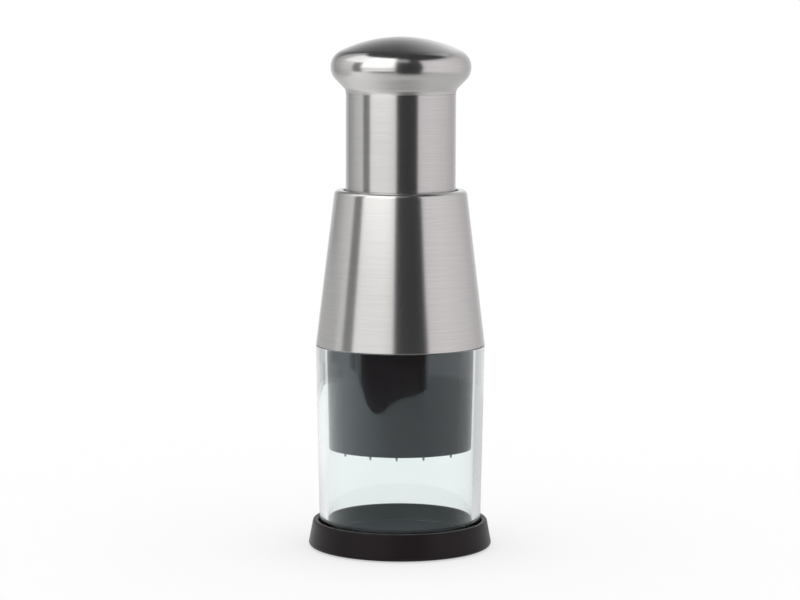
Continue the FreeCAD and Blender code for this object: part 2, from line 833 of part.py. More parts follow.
def add_shape(label, shape):
    item = doc.addObject("Part::Feature", f"{label}_shape")
    item.Shape = shape
    item.Label = label
    item.Placement = FreeCAD.Placement()
    parts[label] = item
    return item


# Cutter: shaft, washers, clip, carrier, pin and blade

def make_drive_shaft():
    radius = size("shaft_radius")
    flange_radius = radius + size("shaft_flange_width")
    body = turned_part("drive_shaft", [
        (zero, shaft_bottom), (radius, shaft_bottom), (radius, flange_bottom),
        (flange_radius, flange_bottom), (flange_radius, flange_top),
        (radius, flange_top), (radius, clip_bottom), (clip_groove_radius, clip_bottom),
        (clip_groove_radius, clip_top), (radius, clip_top), (radius, shaft_top), (zero, shaft_top),
    ])
    cut_helical_groove(body)
    drill_across(body, "shaft_pin_hole", size("carrier_pin_radius") + size("close_fit"),
                 carrier_pin_level, radius + size("cut_overrun"))


def cut_helical_groove(body):
    """Two steep grooves. Over one stroke they turn the shaft by the index angle."""
    floor = size("shaft_radius") - size("groove_depth")
    half = size("pin_radius") + size("groove_side_gap")
    low = pin_height - size("groove_end_room")
    span = stroke + size("groove_end_room") * 2
    sections = []
    steps = count("groove_sections") - 1
    for step in range(steps + 1):
        height = low + span * (step / steps)
        turn = (pin_height - height) / stroke * size("index_angle")
        sketch = new_sketch(body, f"groove_section_{step}", "XY_Plane", height, turn)
        outside = size("shaft_radius") + size("cut_overrun")
        draw_outline(sketch, [(floor, -half), (outside, -half), (outside, half), (floor, half)])
        sections.append(sketch)
    groove = body.newObject("PartDesign::SubtractiveLoft", "groove")
    groove.Profile = sections[0]
    groove.Sections = sections[1:]
    groove.Ruled = True
    doc.recompute()
    repeat_round(body, groove)


def make_washers():
    inner = shaft_bore
    ring("thrust_washer", inner, washer_radius, washer_bottom,
         washer_bottom + size("washer_thickness"))
    ring("top_washer", inner, washer_radius, upper_washer_bottom,
         upper_washer_bottom + size("washer_thickness"))


def make_shaft_clip():
    """Open ring that snaps into the groove at the shaft's top."""
    inner = clip_groove_radius + size("close_fit")
    body = ring("shaft_clip", inner, clip_radius, clip_bottom + size("close_fit"),
                clip_top - size("close_fit"))
    sketch = new_sketch(body, "clip_mouth", "XY_Plane", clip_bottom)
    half = size("clip_mouth") / 2
    outside = clip_radius + size("cut_overrun")
    draw_outline(sketch, [(zero, -half), (outside, -half), (outside, half), (zero, half)])
    cut_sketch(body, "clip_mouth_cut", sketch, size("clip_thickness"))


def zigzag_stops():
    """Fold circles of the blade in plan, from end to end, as (centre, side that the fold faces, radius).
    The strip's two ends are stops with no radius."""
    reach = blade_reach.value
    fold = sheet.get("blade_fold_radius")
    folds = count("blade_front_folds") * 2 - 1
    step = (reach - fold - sheet.get("blade_side_room")) * 2 / (folds - 1)
    end_back = sheet.get("blade_end_back")
    end_across = math.sqrt(reach ** 2 - end_back ** 2)
    stops = [(FreeCAD.Vector(-end_across, end_back, 0), 1, 0.0)]
    for index in range(folds):
        across = (index - (folds - 1) / 2) * step
        side = 1 if index % 2 else -1
        depth = math.sqrt((reach - fold) ** 2 - across ** 2)
        stops.append((FreeCAD.Vector(across, side * depth, 0), side, fold))
    stops.append((FreeCAD.Vector(end_across, end_back, 0), 1, 0.0))
    return stops


def zigzag_outline(half_width, overrun, level):
    """Outline of the folded strip in plan: straight legs that touch each fold circle, and the folds."""
    left = []
    right = []
    previous = None
    stops = zigzag_stops()
    for (here, side, radius), (there, next_side, next_radius) in zip(stops[:-1], stops[1:]):
        chord = there - here
        lean = math.degrees(math.asin((radius + next_radius) / chord.Length)) * next_side
        leg = FreeCAD.Rotation(FreeCAD.Vector(0, 0, 1), lean).multVec(chord.normalize())
        normal = FreeCAD.Vector(-leg.y, leg.x, 0)
        start = here + normal * radius * side
        finish = there + normal * next_radius * next_side
        if radius == 0.0:
            start = start - leg * overrun
        if next_radius == 0.0:
            finish = finish + leg * overrun
        offset = normal * half_width
        if previous is not None:
            crown = FreeCAD.Vector(0, side, 0)
            left_crown = here + crown * (radius + side * half_width)
            right_crown = here + crown * (radius - side * half_width)
            left.append(Part.Arc(previous[0], left_crown, start + offset))
            right.append(Part.Arc(previous[1], right_crown, start - offset))
        left.append(Part.LineSegment(start + offset, finish + offset))
        right.append(Part.LineSegment(start - offset, finish - offset))
        previous = (finish + offset, finish - offset)
    first_cap = Part.LineSegment(right[0].StartPoint, left[0].StartPoint)
    last_cap = Part.LineSegment(left[-1].EndPoint, right[-1].EndPoint)
    around = [first_cap] + left + [last_cap] + list(reversed(right))
    outline = Part.Wire(Part.__sortEdges__([curve.toShape() for curve in around]))
    outline.translate(FreeCAD.Vector(0, 0, level))
    outline.rotate(FreeCAD.Vector(), FreeCAD.Vector(0, 0, 1), sheet.get("blade_turn"))
    return outline


def make_zigzag_blade():
    """Folded strip, ground to a wedge along its lower edge."""
    tip = blade_tip.value
    wedge_top = tip + sheet.get("blade_bevel")
    half = sheet.get("blade_thickness") / 2
    edge = zigzag_outline(sheet.get("blade_edge_thickness") / 2, 0.0, tip)
    full = zigzag_outline(half, 0.0, wedge_top)
    wedge = Part.makeLoft([edge, full], True, True)
    strip = Part.Face(full).extrude(FreeCAD.Vector(0, 0, blade_top.value - wedge_top))
    add_shape("zigzag_blade", strip.fuse(wedge).removeSplitter())


def slot_tool(name, gap, low, high):
    """The zigzag strip with a gap all round, as a cutting tool."""
    outline = zigzag_outline(sheet.get("blade_thickness") / 2 + gap, gap, low)
    tool = doc.addObject("Part::Feature", name)
    tool.Shape = Part.Face(outline).extrude(FreeCAD.Vector(0, 0, high - low))
    return tool


def cut_part(label, body, tool):
    """A piece with a slot through it: the plain body less the tool."""
    body.Label = f"{label}_blank"
    slotted = doc.addObject("Part::Cut", f"{label}_slotted")
    slotted.Base = body
    slotted.Tool = tool
    slotted.Label = label
    parts[label] = slotted


def make_blade_carrier():
    """Disc that grips the blade's upper edge, with a hub for the shaft and its cross pin."""
    bore = size("shaft_radius") + size("close_fit")
    body = turned_part("blade_carrier", [
        (zero, carrier_bottom), (carrier_radius, carrier_bottom), (carrier_radius, carrier_top),
        (hub_radius, carrier_top), (hub_radius, hub_top), (bore, hub_top), (bore, shaft_bottom),
        (zero, shaft_bottom),
    ])
    drill_across(body, "hub_pin_hole", size("carrier_pin_radius") + size("close_fit"),
                 carrier_pin_level, hub_radius + size("cut_overrun"))
    tool = slot_tool("carrier_slot", 0.0, carrier_bottom.value, blade_top.value)
    cut_part("blade_carrier", body, tool)


def make_carrier_pin():
    pin = doc.addObject("Part::Cylinder", "carrier_pin_rod")
    bind(pin, "Radius", size("carrier_pin_radius"))
    bind(pin, "Height", hub_radius * 2)
    bind(pin, "Placement.Base.x", zero - hub_radius)
    bind(pin, "Placement.Base.z", carrier_pin_level)
    pin.Placement.Rotation = FreeCAD.Rotation(FreeCAD.Vector(0, 1, 0), 90.0)
    pin.Label = "carrier_pin"
    parts["carrier_pin"] = pin


# Wiper: bell and slotted floor

def wiper_radius(height):
    """Outside radius of the bell at a height."""
    spread = (wiper_top_radius - wiper_foot_radius) / (wiper_top - wiper_foot)
    return wiper_foot_radius + spread * (height - wiper_foot)


def make_wiper_cup():
    """Bell round the blades. Its inner ledge hangs on the carrier's rim."""
    wall = size("wiper_wall")
    hole = size("shaft_radius") + size("wiper_hole_room")
    ledge_bottom = carrier_top + size("wiper_ledge_play")
    ledge_top = ledge_bottom + size("wiper_ledge_thickness")
    ledge_radius = carrier_radius - size("wiper_ledge_overlap")
    plate_stop = wiper_plate_top + size("wiper_plate_fit")
    turned_part("wiper_cup", [
        (wiper_inner, wiper_foot), (wiper_foot_radius, wiper_foot),
        (wiper_top_radius, wiper_top), (hole, wiper_top), (hole, wiper_roof_bottom),
        (wiper_radius(wiper_roof_bottom) - wall, wiper_roof_bottom),
        (wiper_radius(ledge_top) - wall, ledge_top),
        (ledge_radius, ledge_top), (ledge_radius, ledge_bottom), (wiper_guide, ledge_bottom),
        (wiper_guide, plate_stop), (wiper_inner, plate_stop),
    ], [
        (wiper_top_radius, wiper_top, size("wiper_edge_round")),
        (wiper_foot_radius, wiper_foot, size("wiper_foot_round")),
    ])


def make_wiper_plate():
    """Floor of the bell. The zigzag slot strips the blade as it draws back."""
    radius = wiper_inner - size("wiper_plate_fit")
    body = turned_part("wiper_plate", [
        (zero, wiper_foot), (radius, wiper_foot), (radius, wiper_plate_top), (zero, wiper_plate_top),
    ])
    tool = slot_tool("wiper_slot", sheet.get("wiper_slot_gap"), wiper_foot.value, wiper_plate_top.value)
    cut_part("wiper_plate", body, tool)


makers = [
    make_base_tray, make_chopping_board, make_foot_ring,
    make_clear_container, make_neck_seal,
    make_collar_shell, make_inner_frame, make_guide_bush, make_ratchet_ring, make_index_nut,
    make_index_pins, make_nut_cover, make_cover_screws,
    make_knob_shell, make_plunger_tube, make_knob_core, make_stop_ring, make_spring_seat,
    make_return_spring,
    make_drive_shaft, make_washers, make_shaft_clip, make_blade_carrier, make_carrier_pin,
    make_zigzag_blade,
    make_wiper_cup, make_wiper_plate,
]
for make in makers:
    make()
doc.recompute()

for item in doc.Objects:
    if "Invalid" in item.State or "Error" in item.State:
        raise RuntimeError(f"{item.Label} failed: {item.State}")
for label, item in parts.items():
    if item.Shape.isNull() or not item.Shape.isValid() or not item.Shape.Solids:
        raise RuntimeError(f"{label} has no valid solid")

os.makedirs("parts", exist_ok=True)
for label, item in parts.items():
    item.Shape.exportStep(os.path.join("parts", f"{label}.step"))
    print(f"{label}: {len(item.Shape.Solids)} solid(s), {item.Shape.Volume:.1f} mm3")
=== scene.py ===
import json
import math

import bpy
from mathutils import Matrix, Vector


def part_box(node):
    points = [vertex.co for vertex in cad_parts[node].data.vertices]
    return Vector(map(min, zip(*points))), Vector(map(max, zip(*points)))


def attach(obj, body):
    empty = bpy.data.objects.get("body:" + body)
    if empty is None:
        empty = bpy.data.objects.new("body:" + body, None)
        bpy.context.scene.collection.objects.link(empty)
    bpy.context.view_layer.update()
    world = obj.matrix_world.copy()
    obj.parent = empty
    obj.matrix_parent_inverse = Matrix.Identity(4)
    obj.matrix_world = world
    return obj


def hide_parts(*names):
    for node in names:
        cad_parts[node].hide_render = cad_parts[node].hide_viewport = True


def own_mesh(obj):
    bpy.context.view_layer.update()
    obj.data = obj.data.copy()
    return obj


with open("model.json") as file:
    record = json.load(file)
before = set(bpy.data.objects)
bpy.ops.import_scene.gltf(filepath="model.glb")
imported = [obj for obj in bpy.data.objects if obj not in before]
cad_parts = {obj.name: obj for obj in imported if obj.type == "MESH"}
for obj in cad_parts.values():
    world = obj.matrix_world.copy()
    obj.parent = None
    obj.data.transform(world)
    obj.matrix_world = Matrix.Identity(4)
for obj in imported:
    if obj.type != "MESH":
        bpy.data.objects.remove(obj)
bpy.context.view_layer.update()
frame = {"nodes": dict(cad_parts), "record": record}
mm = 0.001
print("frame loaded:", len(frame["nodes"]), "nodes")


# Camera: the photograph's angle, for an 800 by 600 frame
cameraLook = {
    "lens": 117.0,
    "sensorWidth": 36.0,
    "distance": 1.1521,
    "height": 0.23876,
    "tiltDown": 6.3426,     # degrees below the horizon
    "roll": 0.136,          # the chopper leans this much to the right in the photograph
    "sideStep": -0.0002,
    "clipStart": 0.01,
}


def addCamera():
    bpy.ops.object.camera_add()
    camera = bpy.context.object
    camera.name = "photoCamera"
    camera.data.lens = cameraLook["lens"]
    camera.data.sensor_width = cameraLook["sensorWidth"]
    camera.data.clip_start = cameraLook["clipStart"]
    place = Matrix.Translation((cameraLook["sideStep"], -cameraLook["distance"], cameraLook["height"]))
    tilt = Matrix.Rotation(math.radians(90 - cameraLook["tiltDown"]), 4, "X")
    roll = Matrix.Rotation(math.radians(cameraLook["roll"]), 4, "Z")
    camera.matrix_world = place @ tilt @ roll
    bpy.context.scene.camera = camera


# Small helpers for modelling
turnSteps = 224             # faces round every turned piece
arcSteps = 6                # faces across a small rounding
longRun = 1.6 * mm          # straight runs longer than this get support edges
supportGap = 0.08 * mm
weldGap = 0.002 * mm        # points closer than this become one
smoothAngle = math.radians(35)


def clearSelection():
    if bpy.context.mode != "OBJECT":
        bpy.ops.object.mode_set(mode="OBJECT")
    bpy.ops.object.select_all(action="DESELECT")


# Rounds the corners of a section. A corner is (radius, height, rounding), all in metres
def roundedSection(corners, steps=arcSteps):
    points = []
    for index, (across, up, rounding) in enumerate(corners):
        corner = Vector((across, up))
        if rounding == 0:
            points.append(corner)
            continue
        before = Vector(corners[index - 1][:2]) - corner
        after = Vector(corners[(index + 1) % len(corners)][:2]) - corner
        before.normalize()
        after.normalize()
        halfAngle = before.angle(after) / 2
        middle = corner + (before + after).normalized() * rounding / math.sin(halfAngle)
        reach = rounding / math.tan(halfAngle)
        start = corner + before * reach - middle
        finish = corner + after * reach - middle
        sweep = math.atan2(start.x * finish.y - start.y * finish.x, start.dot(finish))
        for step in range(steps + 1):
            turn = Matrix.Rotation(sweep * step / steps, 2)
            points.append(middle + turn @ start)
    return points


# Points of an arc in a section, angles in degrees from the outward direction
def arcPoints(centre, radius, fromAngle, toAngle, steps):
    points = []
    for step in range(steps + 1):
        angle = math.radians(fromAngle + (toAngle - fromAngle) * step / steps)
        points.append(Vector((centre[0] + radius * math.cos(angle), centre[1] + radius * math.sin(angle))))
    return points


# Adds a point close to each end of a long straight run, so that its shading stays flat beside a rounding
def supportRuns(points, closed):
    supported = []
    for index, point in enumerate(points):
        supported.append(point)
        if index == len(points) - 1 and not closed:
            break
        run = points[(index + 1) % len(points)] - point
        if run.length > longRun:
            supported.append(point + run.normalized() * supportGap)
            supported.append(point + run - run.normalized() * supportGap)
    return supported


# A new piece of one vertex, left in edit mode with the vertex selected
def startPiece(pieceName, spot):
    clearSelection()
    bpy.ops.mesh.primitive_plane_add(size=mm, location=spot)
    piece = bpy.context.object
    piece.name = pieceName
    piece.data.name = pieceName
    bpy.ops.object.transform_apply(location=True, rotation=True, scale=True)
    bpy.ops.object.mode_set(mode="EDIT")
    bpy.ops.mesh.select_mode(type="VERT")
    bpy.ops.mesh.select_all(action="SELECT")
    bpy.ops.mesh.merge(type="CENTER")
    return piece


# Pulls the selected vertex from spot to spot, which leaves a chain of edges behind it
def pullChain(spots):
    for here, there in zip(spots[:-1], spots[1:]):
        bpy.ops.mesh.extrude_vertices_move(TRANSFORM_OT_translate={"value": there - here})


# Leaves edit mode with every face turned outward and shaded smooth over its soft edges
def closePiece():
    bpy.ops.mesh.select_all(action="SELECT")
    bpy.ops.mesh.normals_make_consistent(inside=False)
    bpy.ops.object.mode_set(mode="OBJECT")
    bpy.ops.object.shade_smooth_by_angle(angle=smoothAngle)


# Draws a section as a chain and spins it round the chopper's axis
def turnPiece(pieceName, points, closed=True):
    spots = [Vector((point.x, 0, point.y)) for point in supportRuns(points, closed)]
    piece = startPiece(pieceName, spots[0])
    pullChain(spots + [spots[0]] if closed else spots)
    bpy.ops.mesh.select_all(action="SELECT")
    bpy.ops.mesh.remove_doubles(threshold=weldGap)
    bpy.ops.mesh.select_all(action="SELECT")
    bpy.ops.mesh.spin(steps=turnSteps, angle=math.tau, center=(0, 0, 0), axis=(0, 0, 1))
    bpy.ops.mesh.select_all(action="SELECT")
    bpy.ops.mesh.remove_doubles(threshold=weldGap)
    closePiece()
    return piece


def finishPiece(piece, material, slotName, bodyName, *cadNodes):
    piece.data.materials.clear()
    piece.data.materials.append(material)
    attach(piece, bodyName)
    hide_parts(*cadNodes)
    print("made", piece.name, "for", ", ".join(cadNodes))


# Small helpers for materials
noiseSpan = (0.3, 0.7)      # a noise mostly stays between these values
skinDepth = 0.02 * mm       # depth of the bumps of a moulded or ground skin
ringDepth = 0.01 * mm       # depth of the brushed rings


def addNode(tree, kind, inputs=None, **settings):
    node = tree.nodes.new(kind)
    for key, value in settings.items():
        setattr(node, key, value)
    for key, value in (inputs or {}).items():
        if isinstance(value, bpy.types.NodeSocket):
            tree.links.new(value, node.inputs[key])
        else:
            node.inputs[key].default_value = value
    return node


def newMaterial(name):
    material = bpy.data.materials.new(name)
    material.use_nodes = True
    tree = material.node_tree
    shader = tree.nodes["Principled BSDF"]
    return material, tree, shader


def mathNode(tree, operation, first, second=0.0):
    node = addNode(tree, "ShaderNodeMath", operation=operation)
    for socket, value in zip(node.inputs, (first, second)):
        if isinstance(value, bpy.types.NodeSocket):
            tree.links.new(value, socket)
        else:
            socket.default_value = value
    return node.outputs["Value"]


# Moves a value's span from one pair of limits to another
def rangeNode(tree, value, low, high, fromLevel=0.0, toLevel=1.0, interpolation="LINEAR"):
    limits = {"Value": value, "From Min": low, "From Max": high, "To Min": fromLevel, "To Max": toLevel}
    node = addNode(tree, "ShaderNodeMapRange", limits, interpolation_type=interpolation)
    return node.outputs["Result"]


# The same, eased at both limits
def easeNode(tree, value, low, high, fromLevel=0.0, toLevel=1.0):
    return rangeNode(tree, value, low, high, fromLevel, toLevel, "SMOOTHSTEP")


def objectPlace(tree):
    return addNode(tree, "ShaderNodeTexCoord").outputs["Object"]


def partsOf(tree, vector):
    return addNode(tree, "ShaderNodeSeparateXYZ", {"Vector": vector}).outputs


# How far a place is from the chopper's axis
def axisDistance(tree, parts):
    flat = addNode(tree, "ShaderNodeCombineXYZ", {"X": parts["X"], "Y": parts["Y"]}).outputs["Vector"]
    return addNode(tree, "ShaderNodeVectorMath", {0: flat}, operation="LENGTH").outputs["Value"]


# Fine rings left by the polishing wheel: noise that is drawn out round the axis
def ringNoise(tree, fineness, spread):
    place = objectPlace(tree)
    outward = mathNode(tree, "MULTIPLY", axisDistance(tree, partsOf(tree, place)), fineness)
    stretched = addNode(tree, "ShaderNodeMapping", {"Vector": place, "Scale": (spread, spread, fineness)})
    settings = {"Vector": stretched.outputs["Vector"], "W": outward,
                "Scale": 1.0, "Detail": 3.0, "Roughness": 0.6}
    return addNode(tree, "ShaderNodeTexNoise", settings, noise_dimensions="4D").outputs["Fac"]


def cloudNoise(tree, scale, detail=2.0):
    settings = {"Vector": objectPlace(tree), "Scale": scale, "Detail": detail}
    return addNode(tree, "ShaderNodeTexNoise", settings).outputs["Fac"]


# A level that follows a noise from one value to another
def wander(tree, noise, low, high):
    return rangeNode(tree, noise, *noiseSpan, low, high)


# A base colour that follows a noise from the look's dark shade to its light one
def addColour(tree, shader, noise, look):
    node = addNode(tree, "ShaderNodeMix", {"Factor": wander(tree, noise, 0.0, 1.0)}, data_type="RGBA")
    node.inputs["A"].default_value = (*look["dark"], 1)
    node.inputs["B"].default_value = (*look["light"], 1)
    tree.links.new(node.outputs["Result"], shader.inputs["Base Color"])


def addRoughness(tree, shader, noise, look):
    tree.links.new(wander(tree, noise, *look["roughness"]), shader.inputs["Roughness"])


def addBump(tree, shader, height, strength, distance=skinDepth):
    bump = addNode(tree, "ShaderNodeBump", {"Height": height, "Strength": strength, "Distance": distance})
    tree.links.new(bump.outputs["Normal"], shader.inputs["Normal"])


# Brushed steel: satin rings round the axis, which draw every reflection out lengthways
def makeBrushedSteel(name, look):
    material, tree, shader = newMaterial(name)
    grain = ringNoise(tree, look["fineness"], look["spread"])
    smudges = cloudNoise(tree, look["smudgeScale"])
    addColour(tree, shader, grain, look)
    shader.inputs["Metallic"].default_value = 1.0
    rough = mathNode(tree, "ADD", wander(tree, grain, *look["roughness"]),
                     wander(tree, smudges, -look["smudge"], look["smudge"]))
    if "flareRoughness" in look:
        height = partsOf(tree, objectPlace(tree))["Z"]
        flare = easeNode(tree, height, look["flareTo"], look["flareFrom"], look["flareRoughness"], 0.0)
        rough = mathNode(tree, "ADD", rough, flare)
    tree.links.new(rough, shader.inputs["Roughness"])
    shader.inputs["Anisotropic"].default_value = look["anisotropy"]
    shader.inputs["Anisotropic Rotation"].default_value = 0.25      # a quarter turn
    tangent = addNode(tree, "ShaderNodeTangent", direction_type="RADIAL", axis="Z")
    tree.links.new(tangent.outputs["Tangent"], shader.inputs["Tangent"])
    addBump(tree, shader, grain, look["bump"], ringDepth)
    return material


# Metal without a brushed finish: springs, shafts, blades and screws
def makePlainMetal(name, look):
    material, tree, shader = newMaterial(name)
    grain = cloudNoise(tree, look["grainScale"], detail=4.0)
    addColour(tree, shader, grain, look)
    addRoughness(tree, shader, grain, look)
    shader.inputs["Metallic"].default_value = 1.0
    addBump(tree, shader, grain, look["bump"])
    return material


# Moulded plastic and rubber: faint flow marks in the colour, an uneven gloss, and a fine skin on some
def makePlastic(name, look):
    material, tree, shader = newMaterial(name)
    skin = cloudNoise(tree, look["skinScale"], detail=3.0)
    addColour(tree, shader, cloudNoise(tree, look["flowScale"]), look)
    addRoughness(tree, shader, skin, look)
    shader.inputs["Specular IOR Level"].default_value = look["specular"]
    if "tint" in look:
        shader.inputs["Specular Tint"].default_value = (*look["tint"], 1)
    if "bump" in look:
        addBump(tree, shader, skin, look["bump"])
    return material


# Clear moulded plastic with a faint sea-green tint and slow ripples in its thickness
def makeClearPlastic(name, look):
    material, tree, shader = newMaterial(name)
    flow = cloudNoise(tree, look["flowScale"])
    addColour(tree, shader, flow, look)
    addRoughness(tree, shader, flow, look)
    shader.inputs["Transmission Weight"].default_value = 1.0
    shader.inputs["IOR"].default_value = look["ior"]
    shader.inputs["Specular Tint"].default_value = (*look["tint"], 1)
    addBump(tree, shader, flow, look["bump"])
    return material


# The finishes. Each one's colour runs from a dark shade to a light one
steelLook = {
    "dark": (0.578, 0.571, 0.565),
    "light": (0.642, 0.633, 0.627),
    "fineness": 4200.0,
    "spread": 55.0,
    "roughness": (0.21, 0.225),
    "smudgeScale": 22.0,
    "smudge": 0.006,
    "anisotropy": 0.62,
    "bump": 0.006,
}
# the knob is polished brighter above its edge than on the flare under it
knobLook = dict(steelLook, roughness=(0.185, 0.195), anisotropy=0.3, bump=0.004,
                flareRoughness=0.2, flareFrom=213.5 * mm, flareTo=209.5 * mm)
# painted shade: the tube's steel is a darker copy of the same brushed steel, standing in for the dimmer light
# that the tube reflects
tubeLookPaintedShade = dict(steelLook, dark=(0.55, 0.543, 0.538), light=(0.61, 0.602, 0.596))
metalLooks = {
    "bright_steel": {"dark": (0.5, 0.5, 0.5), "light": (0.6, 0.6, 0.6),
                     "roughness": (0.2, 0.3), "grainScale": 900.0, "bump": 0.1},
    "spring_steel": {"dark": (0.32, 0.33, 0.35), "light": (0.42, 0.42, 0.43),
                     "roughness": (0.25, 0.35), "grainScale": 700.0, "bump": 0.1},
    "blade_steel": {"dark": (0.3, 0.31, 0.32), "light": (0.4, 0.41, 0.42),
                    "roughness": (0.16, 0.24), "grainScale": 1200.0, "bump": 0.1},
}
plasticLooks = {
    "black_plastic": {"dark": (0.0125, 0.0092, 0.01), "light": (0.0145, 0.011, 0.0118),
                      "roughness": (0.3, 0.36), "flowScale": 30.0, "skinScale": 4200.0, "specular": 0.13},
    "board_plastic": {"dark": (0.016, 0.02, 0.023), "light": (0.02, 0.025, 0.028),
                      "roughness": (0.62, 0.7), "flowScale": 40.0, "skinScale": 3600.0, "specular": 0.07},
    "cup_plastic": {"dark": (0.0275, 0.0185, 0.0208), "light": (0.03, 0.0208, 0.0233),
                    "roughness": (0.12, 0.15), "flowScale": 24.0, "skinScale": 5200.0, "specular": 0.5,
                    "tint": (0.76, 0.96, 1.0)},
    "frame_plastic": {"dark": (0.03, 0.03, 0.032), "light": (0.04, 0.04, 0.042), "roughness": (0.4, 0.5),
                      "flowScale": 30.0, "skinScale": 2200.0, "specular": 0.4, "bump": 0.15},
    "white_plastic": {"dark": (0.68, 0.67, 0.64), "light": (0.76, 0.75, 0.72), "roughness": (0.3, 0.4),
                      "flowScale": 40.0, "skinScale": 2200.0, "specular": 0.45, "bump": 0.1},
    "rubber": {"dark": (0.018, 0.018, 0.019), "light": (0.028, 0.028, 0.029), "roughness": (0.65, 0.8),
               "flowScale": 60.0, "skinScale": 1600.0, "specular": 0.3, "bump": 0.3},
    "seal_rubber": {"dark": (0.5, 0.5, 0.49), "light": (0.6, 0.6, 0.59), "roughness": (0.45, 0.55),
                    "flowScale": 60.0, "skinScale": 1600.0, "specular": 0.35, "bump": 0.2},
}
clearLook = {"dark": (0.915, 0.958, 0.954), "light": (0.925, 0.966, 0.962), "roughness": (0.0, 0.01),
             "flowScale": 18.0, "ior": 1.49, "tint": (0.84, 0.96, 1.0), "bump": 0.01}

materials = {"brushed_steel": makeBrushedSteel("brushed_steel", steelLook),
             "tube_steel_painted_shade": makeBrushedSteel("tube_steel_painted_shade", tubeLookPaintedShade),
             "knob_steel": makeBrushedSteel("knob_steel", knobLook),
             "clear_plastic": makeClearPlastic("clear_plastic", clearLook)}
for looks, maker in ((metalLooks, makePlainMetal), (plasticLooks, makePlastic)):
    for finishName, finishLook in looks.items():
        materials[finishName] = maker(finishName, finishLook)
print("materials:", len(materials))


# Every CAD node gets the finish that its record names. Those that a finer piece replaces aren't shown
def dressNodes():
    for row in frame["record"]["subparts"]:
        node = frame["nodes"][row["node"]]
        node.data.materials.clear()
        node.data.materials.append(materials[row["material_slot"]])


# Base tray: a rim that flares down to a rounded foot, with a ring of rubber under it
baseLook = {
    "footOuter": 41.2 * mm,     # before its edge is rounded
    "footLift": 0.5 * mm,
    "footRound": 1.2 * mm,
    "rimOuter": 39.0 * mm,
    "rimInner": 36.65 * mm,
    "rimRound": 0.9 * mm,
    "floorHeight": 5.0 * mm,
    "landWidth": 2.0 * mm,
    "smallRound": 0.25 * mm,
    "boardRadius": 29.4 * mm,
    "boardRoom": 0.1 * mm,
    "boardRound": 0.5 * mm,
    "ringInner": 33.5 * mm,
    "ringRound": 0.4 * mm,
}


def makeBase():
    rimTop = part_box("base_tray")[1].z
    ringLow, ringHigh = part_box("foot_ring")
    boardLow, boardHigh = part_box("chopping_board")
    small, lift = baseLook["smallRound"], baseLook["footLift"]
    rimOuter, rimInner, rimRound = baseLook["rimOuter"], baseLook["rimInner"], baseLook["rimRound"]
    ringInner, ringRound = baseLook["ringInner"], baseLook["ringRound"]
    land = ringInner - baseLook["landWidth"]
    boardRadius = baseLook["boardRadius"]
    seatRadius = boardRadius + baseLook["boardRoom"]
    tray = turnPiece("baseTray", roundedSection([
        (0, ringHigh.z, 0), (land, ringHigh.z, small), (land, lift, small), (ringInner, lift, small),
        (ringInner, ringHigh.z, 0), (ringHigh.x, ringHigh.z, 0), (ringHigh.x, lift, small),
        (baseLook["footOuter"], lift, baseLook["footRound"]), (rimOuter, rimTop, rimRound),
        (rimInner, rimTop, rimRound), (rimInner, baseLook["floorHeight"], small),
        (seatRadius, baseLook["floorHeight"], small), (seatRadius, boardLow.z, small), (0, boardLow.z, 0),
    ]), closed=False)
    finishPiece(tray, materials["black_plastic"], "black_plastic", "base", "base_tray")
    board = turnPiece("choppingBoard", roundedSection([
        (0, boardLow.z, 0), (boardRadius, boardLow.z, small),
        (boardRadius, boardHigh.z, baseLook["boardRound"]), (0, boardHigh.z, 0),
    ]), closed=False)
    finishPiece(board, materials["board_plastic"], "board_plastic", "base", "chopping_board")
    ring = turnPiece("footRing", roundedSection([
        (ringInner, ringLow.z, ringRound), (ringHigh.x, ringLow.z, ringRound),
        (ringHigh.x, ringHigh.z, 0), (ringInner, ringHigh.z, 0),
    ]))
    finishPiece(ring, materials["rubber"], "rubber", "base", "foot_ring")


# Clear container: a thick tapered tube with a stepped neck and a groove for its seal
jarLook = {
    "footOuter": 36.0 * mm,
    "footInner": 32.3 * mm,
    "topOuter": 37.7 * mm,
    "topInner": 33.95 * mm,
    "shoulder": 91.0 * mm,
    "shoulderRound": 0.3 * mm,
    "neckOuter": 35.4 * mm,
    "lipRound": 0.5 * mm,
    "grooveInner": 34.8 * mm,
    "grooveRound": 0.1 * mm,
    "sealRound": 0.5 * mm,
}


def makeContainer():
    low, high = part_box("clear_container")
    sealLow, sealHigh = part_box("neck_seal")
    lip, bend, fine = jarLook["lipRound"], jarLook["shoulderRound"], jarLook["grooveRound"]
    neckOuter, grooveInner, shoulder = jarLook["neckOuter"], jarLook["grooveInner"], jarLook["shoulder"]
    jar = turnPiece("clearContainer", roundedSection([
        (jarLook["footInner"], low.z, lip), (jarLook["footOuter"], low.z, lip),
        (jarLook["topOuter"], shoulder, bend), (neckOuter, shoulder, bend), (neckOuter, sealLow.z, fine),
        (grooveInner, sealLow.z, fine), (grooveInner, sealHigh.z, fine), (neckOuter, sealHigh.z, fine),
        (neckOuter, high.z, lip), (jarLook["topInner"], high.z, lip),
    ]))
    finishPiece(jar, materials["clear_plastic"], "clear_plastic", "container", "clear_container")
    sealRound = jarLook["sealRound"]
    seal = turnPiece("neckSeal", roundedSection([
        (grooveInner, sealLow.z, 0), (sealHigh.x, sealLow.z, sealRound),
        (sealHigh.x, sealHigh.z, sealRound), (grooveInner, sealHigh.z, 0),
    ]))
    finishPiece(seal, materials["seal_rubber"], "seal_rubber", "container", "neck_seal")


# Steel collar: a pressed cone whose top rolls over into the hole that the tube runs through
collarLook = {
    "topRadius": 29.35 * mm,
    "topRound": 2.2 * mm,
    "holeRadius": 25.7 * mm,
    "wall": 0.6 * mm,
    "lipRound": 0.5 * mm,
    "lipDepth": 2.3 * mm,
    "hemRound": 0.2 * mm,
    "innerRound": 0.1 * mm,
    "roundSteps": 8,
}


